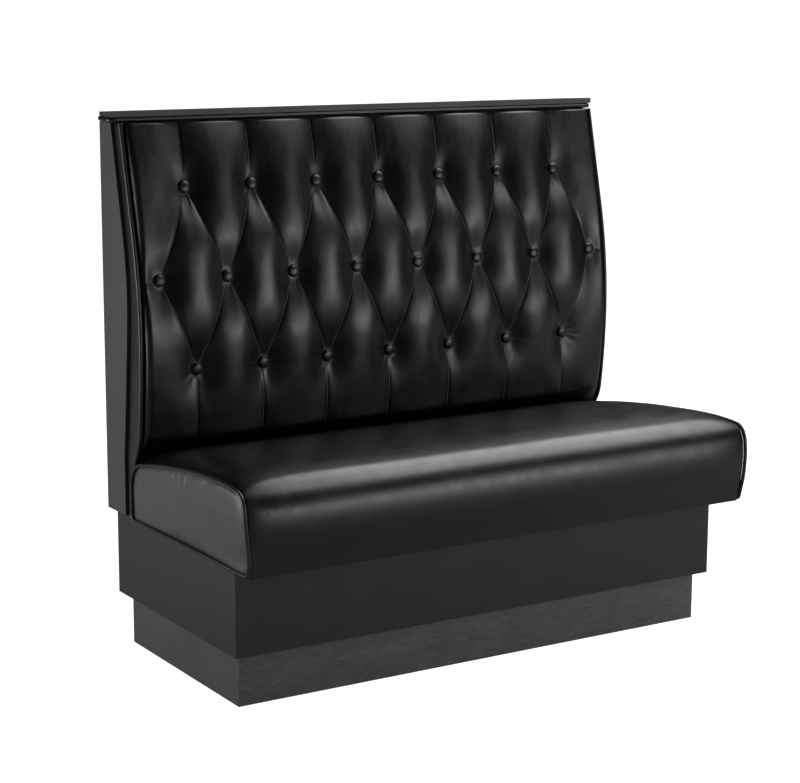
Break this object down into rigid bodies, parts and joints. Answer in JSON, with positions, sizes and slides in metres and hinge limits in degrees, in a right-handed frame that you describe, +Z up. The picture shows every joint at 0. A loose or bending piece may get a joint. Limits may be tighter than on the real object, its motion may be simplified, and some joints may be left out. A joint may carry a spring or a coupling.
{
  "type": "restaurant booth seat",
  "caption": "Single-sided restaurant booth with a button-tufted upholstered back, a crowned lift-off seat cushion, a closed box base and a recessed plinth.",
  "frame": {"origin": "on the floor, under the middle of the booth's bounding box", "axes": "+X along the seat to the right as seen from the front, +Y to the back, +Z up"},
  "size_m": [1.17, 0.6449, 1.0874],
  "materials": {
    "black_vinyl": "semi-gloss vinyl with a fine grain",
    "side_board_laminate": "flat dark grey laminate on board, satin",
    "cap_laminate": "matt black laminate on board",
    "box_laminate": "matt black laminate on board",
    "slate_laminate": "dark slate laminate with fine pale diagonal marks",
    "plinth_laminate": "plain dark grey laminate on board",
    "plywood": "raw birch plywood",
    "softwood": "planed softwood",
    "foam": "open-cell foam",
    "black_cloth": "thin non-woven cloth",
    "twine": "waxed twine",
    "spring_steel": "oiled spring wire",
    "plated_steel": "bright zinc-plated steel",
    "nylon": "black moulded nylon"
  },
  "bodies": {
    "base": {"tufted_cover": "black_vinyl", "tuft_buttons": "black_vinyl", "back_right_boxing": "black_vinyl", "back_left_boxing": "black_vinyl", "back_welts": "black_vinyl", "cap_welt": "black_vinyl", "back_right_side_board": "side_board_laminate", "back_left_side_board": "side_board_laminate", "outside_back_panel": "side_board_laminate", "cap_board": "cap_laminate", "box_front_panel": "box_laminate", "box_back_panel": "box_laminate", "box_right_end_panel": "box_laminate", "box_left_end_panel": "box_laminate", "plinth_front_facing": "slate_laminate", "plinth_right_board": "plinth_laminate", "plinth_left_board": "plinth_laminate", "plinth_back_board": "plinth_laminate", "plinth_front_board": "plywood", "plinth_bearers": "plywood", "plinth_corner_blocks": "plywood", "box_bottom_panel": "plywood", "box_dividers": "plywood", "box_front_rail": "plywood", "box_rear_deck": "plywood", "back_face_panel": "plywood", "back_ribs": "plywood", "back_bottom_rail": "plywood", "back_top_rail": "plywood", "back_middle_rails": "plywood", "cap_core": "plywood", "back_foam": "foam", "button_ties": "twine", "levelling_inserts": "plated_steel", "floor_anchor_brackets": "plated_steel", "back_fixing_bolts": "plated_steel", "back_fixing_nuts": "plated_steel", "tie_washers": "plated_steel"},
    "seat": {"seat_cover": "black_vinyl", "seat_foam": "foam", "seat_front_rail": "softwood", "seat_back_rail": "softwood", "seat_end_rails": "softwood", "seat_stretchers": "softwood", "seat_dust_cover": "black_cloth", "seat_insulator": "black_cloth", "seat_locating_cleats": "softwood", "seat_springs": "spring_steel", "spring_clips": "nylon", "seat_right_end_panel": "black_vinyl", "seat_left_end_panel": "black_vinyl", "seat_welts": "black_vinyl"},
    "foot_front_left": {"foot_base_front_left": "nylon", "foot_stem_front_left": "plated_steel"},
    "foot_front_right": {"foot_base_front_right": "nylon", "foot_stem_front_right": "plated_steel"},
    "foot_back_left": {"foot_base_back_left": "nylon", "foot_stem_back_left": "plated_steel"},
    "foot_back_right": {"foot_base_back_right": "nylon", "foot_stem_back_right": "plated_steel"}
  },
  "joints": [
    {"name": "seat_lift_off", "type": "slide", "parent": "base", "child": "seat", "axis": [0, -0.866, 0.5], "range_m": [0, 0.6]},
    {"name": "foot_front_left_screw", "type": "slide", "parent": "base", "child": "foot_front_left", "axis": [0, 0, -1], "range_m": [0, 0.014]},
    {"name": "foot_front_right_screw", "type": "slide", "parent": "base", "child": "foot_front_right", "axis": [0, 0, -1], "range_m": [0, 0.014]},
    {"name": "foot_back_left_screw", "type": "slide", "parent": "base", "child": "foot_back_left", "axis": [0, 0, -1], "range_m": [0, 0.014]},
    {"name": "foot_back_right_screw", "type": "slide", "parent": "base", "child": "foot_back_right", "axis": [0, 0, -1], "range_m": [0, 0.014]}
  ]
}
